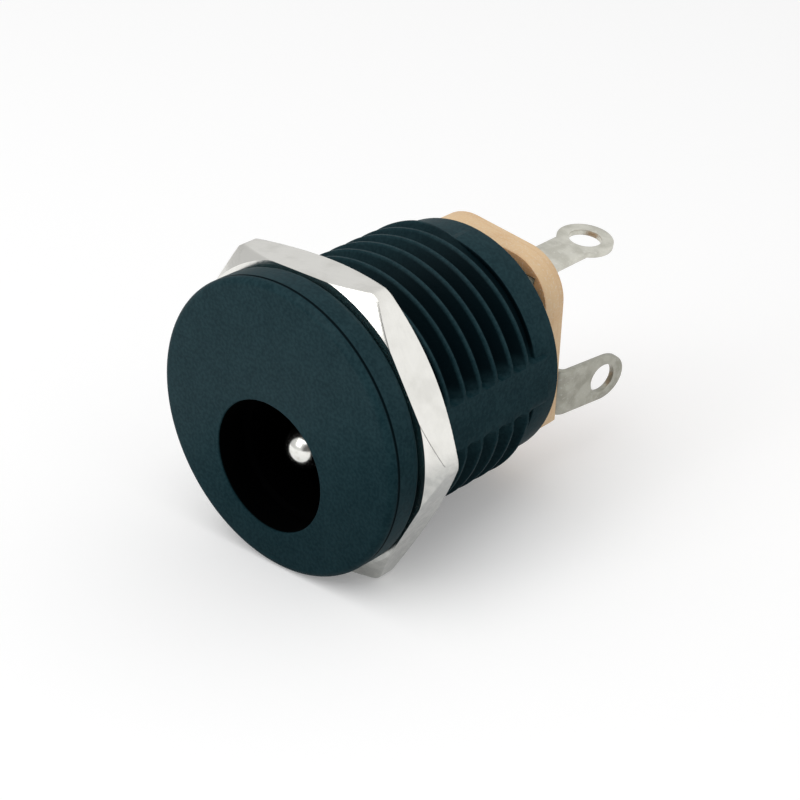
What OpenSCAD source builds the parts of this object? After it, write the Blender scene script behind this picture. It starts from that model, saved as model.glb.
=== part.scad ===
// Panel-mount DC barrel jack: a moulded, threaded housing with an off-centre plug opening,
// a hexagon nut, a riveted centre pin, a spring sleeve contact and a terminal board.
//
// The origin is the centre of the plug opening in the flange's front face.
// +Y is the way the plug goes in, +Z is up, and all lengths are in millimetres.

/* [Flange] */
// Distance that the flange and the nut's flats stand out past the thread's crests
rim = 0.88; // [0.8:0.01:1.2]
// Thickness of the flange
flange_t = 1.8; // [1.7:0.05:2.4]
// Rounding of the flange's front edge
front_round = 0.35; // [0.1:0.05:0.6]
// Rounding of the flange's rear edge
rear_round = 0.15; // [0.05:0.05:0.3]

/* [Threaded barrel] */
// Diameter over the thread's crests
thread_d = 12.24; // [12:0.01:12.6]
// Distance from one crest to the next
thread_pitch = 1.07; // [0.8:0.01:1.2]
// Depth of the thread from crest to root
thread_depth = 0.5; // [0.3:0.01:0.55]
// Width of the flat on each crest
crest_flat = 0.13; // [0.08:0.01:0.25]
// Width of the flat in each root
root_flat = 0.22; // [0.1:0.01:0.3]
// Distance across the two plain lands that interrupt the thread
land_across = 11.9; // [11.7:0.01:11.96]
// Width of each land where it fills the grooves
land_w = 2.3; // [1:0.1:3]
// Turn of the lands, anticlockwise seen from the front
land_turn = 1.5; // [0:0.5:10]
// Length of the barrel behind the flange
barrel_len = 10.75; // [10:0.05:12]
// Diameter of the plain collar at the barrel's end
collar_d = 11.66; // [11.4:0.01:11.7]
// Length of the plain collar
collar_len = 1.8; // [1.2:0.05:2.2]
// Width of the relief groove between the thread and the collar
relief_w = 0.66; // [0.4:0.01:0.9]
// Drop of the barrel and its first, incomplete crest beside the flange
run_in_drop = 0.2; // [0.1:0.01:0.3]
// Chamfer on the collar's rear edge
collar_chamfer = 0.12; // [0.05:0.01:0.3]
// Diameter of the rear spigot that carries the terminal board
spigot_d = 9.8; // [9.4:0.1:10.4]
// Length of the rear spigot
spigot_len = 0.75; // [0.6:0.05:1.2]

/* [Plug opening] */
// Diameter of the opening for the plug
opening_d = 6.3; // [6:0.05:6.5]
// Depth of the opening's lip
lip_depth = 1.6; // [1.2:0.05:1.7]
// Lead-in from the lip to the narrower cavity behind it, in radius and in depth
cavity_lead = 0.2; // [0.05:0.01:0.25]
// Depth of the cavity from the flange's front face
cavity_depth = 10.6; // [10:0.1:11]
// Distance of the plug's axis below the barrel's axis
plug_offset = 2; // [1.9:0.05:2.1]
// Turn of that offset, clockwise seen from the front
plug_turn = 12; // [8:0.5:14]

/* [Centre pin] */
// Diameter of the centre pin
pin_d = 2.1; // [1.9:0.05:2.5]
// Distance of the pin's tip behind the flange's front face
pin_setback = 1.75; // [1.7:0.05:2.5]
// Diameter of the pin's shoulder on the cavity floor
shoulder_d = 3.2; // [2.8:0.1:3.6]
// Thickness of the pin's shoulder
shoulder_t = 0.5; // [0.3:0.05:0.8]
// Diameter of the pin's tail
tail_d = 1.6; // [1.4:0.05:1.7]
// Diameter of the riveted head
rivet_d = 2.5; // [2.3:0.05:2.8]
// Height of the riveted head
rivet_h = 0.45; // [0.3:0.05:0.6]

/* [Hexagon nut] */
// Thickness of the nut
nut_t = 1.95; // [1.6:0.05:2.4]
// Angle of the chamfer on the nut's corners
nut_chamfer_angle = 30; // [20:1:35]
// Circle where the front chamfer starts, beyond half the distance across the flats
front_chamfer_out = 0.2; // [0:0.05:0.3]
// Circle where the rear chamfer starts, within half the distance across the flats
rear_chamfer_in = 0.2; // [0:0.05:0.3]
// Wear taken off the nut's six corners
corner_trim = 0.1; // [0.05:0.01:0.2]
// Countersink at both ends of the nut's bore
nut_countersink = 0.25; // [0.1:0.05:0.35]

/* [Terminal board] */
// Diameter of the round part of the board
board_d = 11.2; // [10.8:0.1:11.4]
// Thickness of the board
board_t = 1.35; // [1:0.05:1.6]
// Height of the board's top edge above the barrel's axis
board_top = 5.05; // [4.9:0.05:5.3]
// Half the board's width at the barrel's axis
board_half = 4.27; // [4.1:0.01:4.4]
// Lean of the board's straight sides towards its top edge
board_lean = 6; // [0:0.5:8]
// Rounding of the two corners beside the board's top edge
board_round = 2.3; // [0.5:0.1:2.5]
// Turn of the board, clockwise seen from the front
board_turn = 8.5; // [6:0.5:10]

/* [Contacts] */
// Thickness of the contact strips
strip_t = 0.3; // [0.25:0.01:0.35]
// Width of the pin lug's strip
pin_lug_w = 2.4; // [2.2:0.05:2.6]
// Distance from the pin's axis to the pin lug's bend
pin_lug_reach = 4.62; // [4.5:0.01:4.7]
// Length of the pin lug behind the board
pin_lug_len = 4.25; // [4:0.05:4.4]
// Outward splay of the pin lug's leg
pin_lug_splay = 7.3; // [0:0.1:9]
// Reach of the pin lug's base beyond the pin's axis
pin_lug_back = 1.3; // [1.2:0.05:1.6]
// Turn of the pin lug, clockwise seen from the front
pin_lug_turn = 7; // [5:0.5:9]
// Diameter of the eye in the pin lug
pin_lug_eye_d = 1.5; // [1.3:0.01:1.6]
// Distance of that eye from the lug's tip
pin_lug_eye_in = 1.35; // [1.2:0.05:1.5]
// Width of the sleeve contact's neck
neck_w = 1.9; // [1.7:0.05:2.1]
// Diameter of the round end of the sleeve contact's lug
ring_d = 2.74; // [2.6:0.01:2.8]
// Diameter of the eye in the sleeve contact's lug
ring_eye_d = 1.58; // [1.4:0.01:1.65]
// Length of the sleeve contact's lug behind the board
ring_lug_len = 5; // [4.8:0.05:5.4]
// Sideways place of the sleeve contact's lug
ring_lug_side = 2.08; // [2:0.01:2.15]
// Height of the sleeve contact's lug above the barrel's axis
ring_lug_height = 4.15; // [4.1:0.01:4.2]
// Width of the spring leaf
leaf_w = 2; // [1.6:0.1:2.2]
// Distance that the spring leaf dips into the plug's cavity
leaf_dip = 0.3; // [0.2:0.05:0.4]
// Length of the spring leaf's turned-up nose
leaf_nose = 1.6; // [1.2:0.1:2]
// Rise of that nose at its tip
leaf_nose_rise = 0.65; // [0.4:0.05:0.7]
// Height of the leaf's root above the cavity's wall
leaf_root = 0.85; // [0.8:0.01:0.95]
// Radius along the middle of each bend
bend_r = 0.45; // [0.4:0.01:0.5]

/* [Clearances] */
// Gap around the thread's crests inside the nut
nut_clearance = 0.1; // [0.05:0.01:0.15]
// Gap around the pin's tail in the floor, the board and the pin lug
tail_clearance = 0.05; // [0.03:0.01:0.08]
// Gap around the contact strips in their pocket, channel and slot
strip_clearance = 0.1; // [0.05:0.01:0.15]

/* [Hidden] */
$fn = 96;
// Length by which a cutting shape passes through a face
over = 1;
// Steps in a bend's quarter turn
bend_steps = 6;
// Steps in a rounded corner of the board
board_steps = 12;

crest_r = thread_d / 2;
root_r = crest_r - thread_depth;
run_in_r = crest_r - run_in_drop;
flange_r = crest_r + rim;
nut_half = crest_r + rim;
collar_r = collar_d / 2;
opening_r = opening_d / 2;
cavity_r = opening_r - cavity_lead;
pin_r = pin_d / 2;
tail_hole_r = tail_d / 2 + tail_clearance;

// Places along Y, from the flange's front face to the rear
barrel_end = flange_t + barrel_len;
collar_start = barrel_end - collar_len;
thread_end = collar_start - relief_w;
board_front = barrel_end + spigot_len;
board_rear = board_front + board_t;
lug_rear = board_rear + strip_t;

// The barrel's axis, beside and above the plug's axis
barrel_x = plug_offset * sin(plug_turn);
barrel_z = plug_offset * cos(plug_turn);

// The plug's axis in the board's own turned frame
plug_side = -plug_offset * sin(plug_turn - board_turn);
plug_height = -plug_offset * cos(plug_turn - board_turn);

// Grooves that fit between the flange and the thread's last crest
groove_count = floor((thread_end - flange_t - crest_flat) / thread_pitch);
groove_half = (thread_pitch - crest_flat) / 2;

// The spring leaf's run beside the cavity
cavity_top = plug_height + cavity_r;
leaf_touch = cavity_top - leaf_dip + strip_t / 2;
leaf_height = cavity_top + leaf_root;
leaf_tip_y = cavity_depth / 2 - 1;
leaf_touch_y = leaf_tip_y + leaf_nose;
base_y = board_front - strip_t / 2;

module at_barrel() {
    translate([barrel_x, 0, barrel_z]) children();
}

module at_board() {
    at_barrel() rotate([0, board_turn, 0]) children();
}

// A rod along +Y between two places on that axis
module rod(r, from, to) {
    translate([0, from, 0]) rotate([-90, 0, 0]) cylinder(h = to - from, r = r);
}

// A shape turned about the Y axis from a profile of [radius, y]
module turned() {
    rotate([-90, 0, 0]) rotate_extrude() children();
}

// A flat shape of [x, z] given a thickness between two places along Y
module plate(from, to) {
    translate([0, to, 0]) rotate([90, 0, 0]) linear_extrude(to - from) children();
}

// Unit direction from a to b
function unit(a, b) = (b - a) / norm(b - a);

// The path's points moved sideways by d, with mitred corners
function beside(path, d) = [
    for (i = [0 : len(path) - 1])
        let (
            before = i == 0 ? unit(path[0], path[1]) : unit(path[i - 1], path[i]),
            after = i == len(path) - 1 ? before : unit(path[i], path[i + 1]),
            middle = (before + after) / norm(before + after),
            reach = d / (middle * before)
        )
        path[i] + reach * [-middle.y, middle.x]
];

// A bend's points about a centre, from one angle to another
function bend(centre, from, to) = [
    for (i = [0 : bend_steps])
        let (a = from + (to - from) * i / bend_steps)
        centre + bend_r * [cos(a), sin(a)]
];

function reversed(list) = [for (i = [len(list) - 1 : -1 : 0]) list[i]];

// The edge-on shape of a strip that follows a path
module strip(path) {
    polygon(concat(beside(path, strip_t / 2), reversed(beside(path, -strip_t / 2))));
}

// ---- Housing ----

// Points of a rounded corner about a centre, from one angle to another
function corner(centre, r, from, to, steps = bend_steps) = [
    for (i = [0 : steps])
        let (a = from + (to - from) * i / steps)
        centre + r * [cos(a), sin(a)]
];

module flange_profile() {
    polygon(concat(
        [[0, 0]],
        corner([flange_r - front_round, front_round], front_round, -90, 0),
        corner([flange_r - rear_round, flange_t - rear_round], rear_round, 0, 90),
        [[0, flange_t]]
    ));
}

// One groove of the thread about its middle, between the crests before and behind it
function groove(middle, front_r, rear_r) = [
    [front_r, middle - groove_half],
    [root_r, middle - root_flat / 2],
    [root_r, middle + root_flat / 2],
    [rear_r, middle + groove_half],
];

// The radius of the crest before a groove, counted from the thread's rear end
function crest_before(i) = i < groove_count - 2 ? crest_r : run_in_r;

function thread_profile() = [
    for (i = [groove_count - 1 : -1 : 0])
        let (middle = thread_end - crest_flat - groove_half - i * thread_pitch)
        each groove(middle, crest_before(i), crest_before(i - 1))
];

module barrel_profile() {
    polygon(concat(
        [[0, flange_t / 2], [run_in_r, flange_t / 2]],
        thread_profile(),
        [
            [crest_r, thread_end],
            [root_r, thread_end + groove_half - root_flat / 2],
            [root_r, collar_start],
            [collar_r, collar_start],
            [collar_r, barrel_end - collar_chamfer],
            [collar_r - collar_chamfer, barrel_end],
            [spigot_d / 2, barrel_end],
            [spigot_d / 2, board_front],
            [0, board_front],
        ]
    ));
}

// The barrel with its thread's crests trimmed flat along the two lands
module trimmed_barrel() {
    intersection() {
        turned() barrel_profile();
        translate([-land_across / 2, 0, -flange_r])
            cube([land_across, board_front + over, 2 * flange_r]);
    }
}

// The two lands, where the thread's grooves are left uncut
module lands() {
    start = flange_t / 2;
    end = collar_start + relief_w / 4;
    translate([-land_across / 2, start, -land_w / 2]) cube([land_across, end - start, land_w]);
}

module housing_solid() {
    at_barrel() {
        turned() flange_profile();
        rotate([0, -land_turn, 0]) {
            trimmed_barrel();
            lands();
        }
    }
}

// The channel over the cavity in which the spring leaf moves
module leaf_channel() {
    half = leaf_w / 2 + strip_clearance;
    start = leaf_tip_y - 0.6;
    bottom = plug_height + 0.75 * cavity_r;
    top = leaf_height + strip_t / 2 + strip_clearance;
    translate([plug_side - half, start, bottom])
        cube([2 * half, board_front + over - start, top - bottom]);
}

// The shallow pocket in the spigot's end for the sleeve contact's base plate
module base_pocket() {
    left = plug_side - leaf_w / 2 - strip_clearance;
    right = ring_lug_side + neck_w / 2 + strip_clearance;
    bottom = leaf_height - strip_t / 2 - strip_clearance;
    top = ring_lug_height + strip_t / 2 + strip_clearance;
    depth = bend_r + strip_t / 2 + strip_clearance;
    translate([left, board_front - depth, bottom])
        cube([right - left, depth + over, top - bottom]);
}

// The plug's opening, the cavity behind it and the hole for the pin's tail
module cavity_profile() {
    polygon([
        [0, -over],
        [opening_r, -over],
        [opening_r, lip_depth],
        [cavity_r, lip_depth + cavity_lead],
        [cavity_r, cavity_depth],
        [tail_hole_r, cavity_depth],
        [tail_hole_r, board_front + over],
        [0, board_front + over],
    ]);
}

module housing() {
    color("#2b3538")
    difference() {
        housing_solid();
        turned() cavity_profile();
        at_board() {
            leaf_channel();
            base_pocket();
        }
    }
}

// ---- Hexagon nut ----

module nut_profile() {
    corner_r = nut_half / cos(30) - corner_trim;
    front_r = nut_half + front_chamfer_out;
    rear_r = nut_half - rear_chamfer_in;
    front_drop = (corner_r - front_r) * tan(nut_chamfer_angle);
    rear_drop = (corner_r - rear_r) * tan(nut_chamfer_angle);
    bore_r = crest_r + nut_clearance;
    polygon([
        [bore_r + nut_countersink, 0],
        [front_r, 0],
        [corner_r, front_drop],
        [corner_r, nut_t - rear_drop],
        [rear_r, nut_t],
        [bore_r + nut_countersink, nut_t],
        [bore_r, nut_t - nut_countersink],
        [bore_r, nut_countersink],
    ]);
}

module hex_nut() {
    color("#c4c3bf")
    at_barrel() translate([0, flange_t, 0]) intersection() {
        turned() nut_profile();
        plate(-over, nut_t + over) circle(r = nut_half / cos(30), $fn = 6);
    }
}

// ---- Centre pin ----

module centre_pin() {
    color("#d9d9d2") {
        translate([0, pin_setback + pin_r, 0]) sphere(r = pin_r);
        rod(pin_r, pin_setback + pin_r, cavity_depth - shoulder_t);
        rod(shoulder_d / 2, cavity_depth - shoulder_t, cavity_depth);
        rod(tail_d / 2, cavity_depth - shoulder_t, lug_rear + rivet_h / 2);
        turned() intersection() {
            translate([0, lug_rear]) square([rivet_d / 2, rivet_h]);
            translate([0, lug_rear + rivet_h - rivet_d / 2]) circle(r = rivet_d / 2);
        }
    }
}

// ---- Terminal board ----

module board_outline() {
    side_at_bottom = board_half + board_d / 2 * tan(board_lean);
    centre_z = board_top - board_round;
    centre_x = board_half - centre_z * tan(board_lean) - board_round / cos(board_lean);
    intersection() {
        circle(d = board_d);
        polygon(concat(
            [[-side_at_bottom, -board_d / 2], [side_at_bottom, -board_d / 2]],
            corner([centre_x, centre_z], board_round, board_lean, 90, board_steps),
            corner([-centre_x, centre_z], board_round, 90, 180 - board_lean, board_steps)
        ));
    }
}

module terminal_board() {
    slot_w = neck_w + 2 * strip_clearance;
    slot_h = strip_t + 2 * strip_clearance;
    color("#88694a")
    difference() {
        at_board() plate(board_front, board_rear) difference() {
            board_outline();
            translate([ring_lug_side, ring_lug_height]) square([slot_w, slot_h], center = true);
        }
        rod(tail_hole_r, board_front - over, board_rear + over);
    }
}

// ---- Pin lug ----

// The middle line of the pin lug, as [x, y], running past both of its round ends
function pin_lug_path() =
    let (
        rise = 90 - pin_lug_splay,
        centre = [pin_lug_reach - bend_r, board_rear + strip_t / 2 + bend_r],
        foot = centre + bend_r * [sin(rise), -cos(rise)],
        run = (board_rear + pin_lug_len - foot.y) / sin(rise)
    )
    concat(
        [[-pin_lug_back - over, centre.y - bend_r]],
        bend(centre, -90, rise - 90),
        [foot + (run + over) * [cos(rise), sin(rise)]]
    );

// The pin lug's eye, with +Y along the leg and +X through the strip
module at_pin_eye() {
    path = pin_lug_path();
    end = path[len(path) - 1];
    eye = end - (pin_lug_eye_in + over) * unit(path[len(path) - 2], end);
    translate([eye.x, eye.y, 0]) rotate([0, 0, -pin_lug_splay]) children();
}

// What is cut away outside the leg's round tip
module leg_tip_trim() {
    difference() {
        translate([-over, 0, -pin_lug_w]) cube([2 * over, 3 * over, 2 * pin_lug_w]);
        rotate([0, 90, 0]) cylinder(h = 3 * over, r = pin_lug_eye_in, center = true);
    }
}

// What is cut away outside the base's round end
module base_end_trim() {
    difference() {
        translate([-3 * over, board_rear - over, -pin_lug_w])
            cube([3 * over, 2 * over + strip_t, 2 * pin_lug_w]);
        rod(pin_lug_back, board_rear - 2 * over, lug_rear + 2 * over);
    }
}

module pin_lug() {
    color("#9a9a90")
    rotate([0, pin_lug_turn, 0]) difference() {
        translate([0, 0, -pin_lug_w / 2]) linear_extrude(pin_lug_w) strip(pin_lug_path());
        rod(tail_hole_r, board_rear - over, lug_rear + over);
        base_end_trim();
        at_pin_eye() {
            rotate([0, 90, 0]) cylinder(h = 2 * over, d = pin_lug_eye_d, center = true);
            leg_tip_trim();
        }
    }
}

// ---- Sleeve contact ----

// The spring leaf's middle line, from the base plate forward, as [y, z]
function leaf_path() = concat(
    [[base_y, ring_lug_height - bend_r - strip_t]],
    reversed(bend([base_y - bend_r, leaf_height + bend_r], -90, 0)),
    [
        [leaf_touch_y + 0.5, leaf_touch + 0.05],
        [leaf_touch_y, leaf_touch],
        [leaf_touch_y - 0.5, leaf_touch + 0.1],
        [leaf_tip_y, leaf_touch + leaf_nose_rise],
    ]
);

// The solder lug's middle line, from the base plate rearward, as [y, z]
function ring_lug_path() = concat(
    [[base_y, leaf_height + bend_r + strip_t]],
    [[base_y, ring_lug_height], [board_rear + ring_lug_len - ring_d / 2, ring_lug_height]]
);

// An edge-on strip of [y, z] given a width along X
module folded(path, x, w) {
    translate([x - w / 2, 0, 0]) rotate([90, 0, 90]) linear_extrude(w) strip(path);
}

// What is cut away in front of the board, where the base plate would pass the spigot
module base_plate_trim() {
    difference() {
        rod(flange_r, board_front - bend_r - strip_t, board_front);
        rod(spigot_d / 2 - strip_clearance / 2, board_front - over - strip_t, board_front + over);
    }
}

module sleeve_contact() {
    left = plug_side - leaf_w / 2;
    right = ring_lug_side + neck_w / 2;
    bottom = leaf_height + bend_r;
    ring_y = board_rear + ring_lug_len - ring_d / 2;
    color("#9a9a90")
    at_board() difference() {
        union() {
            folded(leaf_path(), plug_side, leaf_w);
            folded(ring_lug_path(), ring_lug_side, neck_w);
            translate([left, board_front - strip_t, bottom])
                cube([right - left, strip_t, ring_lug_height + strip_t / 2 - bottom]);
            translate([ring_lug_side, ring_y, ring_lug_height])
                cylinder(h = strip_t, d = ring_d, center = true);
        }
        translate([ring_lug_side, ring_y, ring_lug_height])
            cylinder(h = strip_t + over, d = ring_eye_d, center = true);
        base_plate_trim();
    }
}

housing();
hex_nut();
centre_pin();
terminal_board();
pin_lug();
sleeve_contact();
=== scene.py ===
"""Looks of a panel-mount DC barrel jack: meshes, finishes, studio and camera.

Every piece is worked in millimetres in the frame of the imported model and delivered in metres.
The origin is the centre of the plug opening, +Y is the way the plug goes in and +Z is up.
"""

import logging
import math
from dataclasses import dataclass
from enum import Enum
from typing import Callable, ClassVar, Iterable, Sequence

import bmesh
import bpy
from mathutils import Matrix, Vector


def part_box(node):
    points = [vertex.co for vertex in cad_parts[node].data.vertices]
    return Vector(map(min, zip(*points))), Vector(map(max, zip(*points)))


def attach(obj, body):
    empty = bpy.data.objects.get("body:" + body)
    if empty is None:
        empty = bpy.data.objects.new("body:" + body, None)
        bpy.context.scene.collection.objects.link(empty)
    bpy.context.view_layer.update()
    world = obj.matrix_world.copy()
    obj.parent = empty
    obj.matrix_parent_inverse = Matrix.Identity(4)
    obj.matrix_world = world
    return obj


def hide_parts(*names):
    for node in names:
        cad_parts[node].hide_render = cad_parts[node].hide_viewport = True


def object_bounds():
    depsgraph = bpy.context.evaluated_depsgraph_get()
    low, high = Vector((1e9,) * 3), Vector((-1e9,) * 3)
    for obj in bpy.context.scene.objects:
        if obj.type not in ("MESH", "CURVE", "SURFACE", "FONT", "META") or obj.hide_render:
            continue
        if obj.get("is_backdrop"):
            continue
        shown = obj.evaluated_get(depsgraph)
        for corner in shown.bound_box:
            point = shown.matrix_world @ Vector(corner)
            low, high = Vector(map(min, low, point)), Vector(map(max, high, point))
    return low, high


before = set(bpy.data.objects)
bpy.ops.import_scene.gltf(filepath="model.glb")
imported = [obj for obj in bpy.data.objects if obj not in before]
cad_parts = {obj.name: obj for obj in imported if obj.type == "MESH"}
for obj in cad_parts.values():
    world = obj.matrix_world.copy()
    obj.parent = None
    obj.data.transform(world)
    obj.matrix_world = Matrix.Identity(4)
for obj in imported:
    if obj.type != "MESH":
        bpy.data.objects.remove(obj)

LOG = logging.getLogger("jack")
MM = 0.001
TURN = 2 * math.pi
ALONG = Vector((0, 1, 0))
UP = Vector((0, 0, 1))

Point = tuple[float, float]
Direction = tuple[float, float, float]
Colour = tuple[float, float, float, float]


@dataclass(frozen=True)
class Layout:
    """Places that the jack's pieces share, in millimetres."""

    flange_t: float
    board_front: float
    board_t: float
    plug_offset: float = 2.0
    plug_turn: float = math.radians(12)
    board_turn: float = math.radians(8.5)
    parting_at: float = 0.4
    collar_len: float = 1.62
    spigot_len: float = 0.75
    spigot_r: float = 4.9
    cavity_depth: float = 10.6
    leaf_height: float = 1.9
    tail_hole_r: float = 0.85
    strip_t: float = 0.3

    @staticmethod
    def of_model() -> "Layout":
        """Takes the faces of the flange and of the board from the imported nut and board.

        Returns:
            The layout.
        """
        (nut_front, _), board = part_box("hex_nut"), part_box("terminal_board")
        front, rear = (round(corner.y / MM, 3) for corner in board)
        return Layout(round(nut_front.y / MM, 3), front, round(rear - front, 3))

    @property
    def barrel_end(self) -> float:
        """The collar's rear face along Y."""
        return self.board_front - self.spigot_len

    @property
    def collar_start(self) -> float:
        """The collar's front face along Y."""
        return self.barrel_end - self.collar_len

    @property
    def board_middle(self) -> float:
        """The middle of the board's thickness along Y."""
        return self.board_front + self.board_t / 2

    @property
    def board_rear(self) -> float:
        """The board's rear face along Y."""
        return self.board_front + self.board_t

    @property
    def barrel(self) -> Vector:
        """A point on the barrel's axis."""
        return self.plug_offset * Vector((math.sin(self.plug_turn), 0, math.cos(self.plug_turn)))

    @property
    def board_frame(self) -> Matrix:
        """The turned frame of the terminal board."""
        return Matrix.Translation(self.barrel) @ Matrix.Rotation(self.board_turn, 4, "Y")

    @property
    def plug_in_board(self) -> Vector:
        """The plug's axis in the board's frame."""
        return self.board_frame.inverted() @ Vector()


# ---- shader maths


@dataclass(frozen=True)
class Signal:
    """A socket that can be used in ordinary arithmetic, each operator adding one Math node."""

    graph: "Graph"
    socket: bpy.types.NodeSocket

    def _math(self, operation: str, *terms: "Signal | float") -> "Signal":
        """Adds a Math node with its operation and its inputs in order."""
        return self.graph.node("ShaderNodeMath", {"operation": operation}, dict(enumerate(terms)))

    def __add__(self, other: "Signal | float") -> "Signal":
        """Sum."""
        return self._math("ADD", self, other)

    def __radd__(self, other: float) -> "Signal":
        """Sum with a number on the left."""
        return self._math("ADD", other, self)

    def __sub__(self, other: "Signal | float") -> "Signal":
        """Difference."""
        return self._math("SUBTRACT", self, other)

    def __rsub__(self, other: float) -> "Signal":
        """Difference from a number."""
        return self._math("SUBTRACT", other, self)

    def __mul__(self, other: "Signal | float") -> "Signal":
        """Product."""
        return self._math("MULTIPLY", self, other)

    def __rmul__(self, other: float) -> "Signal":
        """Product with a number on the left."""
        return self._math("MULTIPLY", other, self)

    def __truediv__(self, other: "Signal | float") -> "Signal":
        """Quotient."""
        return self._math("DIVIDE", self, other)

    def __pow__(self, other: float) -> "Signal":
        """Power."""
        return self._math("POWER", self, other)

    def absolute(self) -> "Signal":
        """Size without sign."""
        return self._math("ABSOLUTE", self)

    def ramp(self, low: float, high: float) -> "Signal":
        """Rises smoothly from 0 at low to 1 at high."""
        inputs = {"Value": self, "From Min": low, "From Max": high}
        return self.graph.node("ShaderNodeMapRange", {"interpolation_type": "SMOOTHSTEP"}, inputs)

    def fall(self, low: float, high: float) -> "Signal":
        """Falls smoothly from 1 at low to 0 at high."""
        return 1 - self.ramp(low, high)

    def swing(self, amount: float) -> "Signal":
        """Turns a value about one half into an amount about zero."""
        return amount * (self - 0.5)


class Graph:
    """The node graph of one material or world."""

    SLANT: ClassVar[float] = 0.45

    def __init__(self, owner: bpy.types.Material | bpy.types.World) -> None:
        """Empties the owner's graph and starts again.

        Args:
            owner: the material or world.
        """
        self.owner = owner
        owner.use_nodes = True
        self.tree = owner.node_tree
        self.tree.nodes.clear()

    @staticmethod
    def material(name: str) -> "Graph":
        """The empty graph of a new material."""
        return Graph(bpy.data.materials.new(name))

    def node(
        self,
        kind: str,
        settings: dict[str, object] | None = None,
        inputs: dict[str | int, object] | None = None,
        output: str | int | None = 0,
    ) -> Signal | None:
        """Adds one node.

        Args:
            kind: the node's type.
            settings: properties that are set before the sockets.
            inputs: values or signals for its sockets.
            output: the output that is returned, or None for a node without one.

        Returns:
            The chosen output.
        """
        made = self.tree.nodes.new(kind)
        for key, value in (settings or {}).items():
            setattr(made, key, value)
        for key, value in (inputs or {}).items():
            if isinstance(value, Signal):
                self.tree.links.new(value.socket, made.inputs[key])
            else:
                made.inputs[key].default_value = value
        return None if output is None else Signal(self, made.outputs[output])

    def place(self, output: str = "Object") -> Signal:
        """The point that is being shaded, in the coordinates that are named."""
        return self.node("ShaderNodeTexCoord", output=output)

    def towards(self, direction: Direction) -> Signal:
        """How far the direction looked in is towards another: 1 along it, -1 against it."""
        inputs = {0: self.place("Generated"), 1: tuple(Vector(direction).normalized())}
        return self.node("ShaderNodeVectorMath", {"operation": "DOT_PRODUCT"}, inputs, "Value")

    def along(self, axis: int, start: float = 0.0) -> Signal:
        """The piece's own coordinate along an axis, in millimetres from a start."""
        return self.node("ShaderNodeSeparateXYZ", None, {0: self.place()}, axis) / MM - start

    def from_axis(self, axis: Vector) -> Signal:
        """The distance in millimetres from a line along Y through a point."""
        across, height = self.along(0, axis.x), self.along(2, axis.z)
        return (across * across + height * height) ** 0.5

    def slant(self, axis: Vector) -> Signal:
        """The height above an axis in millimetres, lessened on the +X side, where less light comes."""
        return self.along(2, axis.z) - self.SLANT * self.along(0, axis.x)

    def noise(self, size_mm: float, detail: float = 3.0, at: Signal | None = None) -> Signal:
        """Soft noise about one half, in grains of a size, over the piece's or other coordinates."""
        inputs = {"Vector": at or self.place(), "Scale": 1 / (size_mm * MM), "Detail": detail}
        return self.node("ShaderNodeTexNoise", None, inputs, "Fac")

    def bands(self, size_mm: float, waver: Signal | float = 0.0) -> Signal:
        """Noise that changes only along Y, as turning marks or plies do, with a shift in metres."""
        at = self.node("ShaderNodeCombineXYZ", None, {0: waver, 1: self.along(1) * MM})
        return self.noise(size_mm, 2.0, at)

    def mix(self, amount: Signal | float, first: object, second: object) -> Signal:
        """A colour between two colours or signals: 0 gives the first and 1 the second."""
        return self.node("ShaderNodeMix", {"data_type": "RGBA"}, {0: amount, 6: first, 7: second}, 2)

    def bump(self, height: Signal, depth_mm: float) -> Signal:
        """The normal bent by a height from 0 to 1, of which 1 stands for the depth."""
        inputs = {"Height": height, "Distance": depth_mm * MM, "Strength": 1.0}
        return self.node("ShaderNodeBump", None, inputs)

    def ray(self, kind: str) -> Signal:
        """One where the light path is of a kind, such as a camera ray."""
        return self.node("ShaderNodeLightPath", output=kind)

    def background_rays(self) -> Signal:
        """One on the rays that should see the white background: camera, glossy and transmission."""
        return self.ray("Is Camera Ray") + self.ray("Is Glossy Ray") + self.ray("Is Transmission Ray")

    def close(self, shader: Signal, kind: str = "ShaderNodeOutputMaterial") -> None:
        """Links a shader to the graph's output node, of the type that is named."""
        self.node(kind, None, {"Surface": shader}, None)

    def surface(
        self, colour: Signal, rough: Signal, normal: Signal, others: dict[str, object]
    ) -> bpy.types.Material:
        """Closes the graph with a Principled surface.

        Args:
            colour: its colour.
            rough: its roughness.
            normal: its bent normal.
            others: what its other sockets take.

        Returns:
            The finished material.
        """
        inputs = {"Base Color": colour, "Roughness": rough, "Normal": normal, **others}
        self.close(self.node("ShaderNodeBsdfPrincipled", None, inputs))
        return self.owner


# ---- finishes


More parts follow.
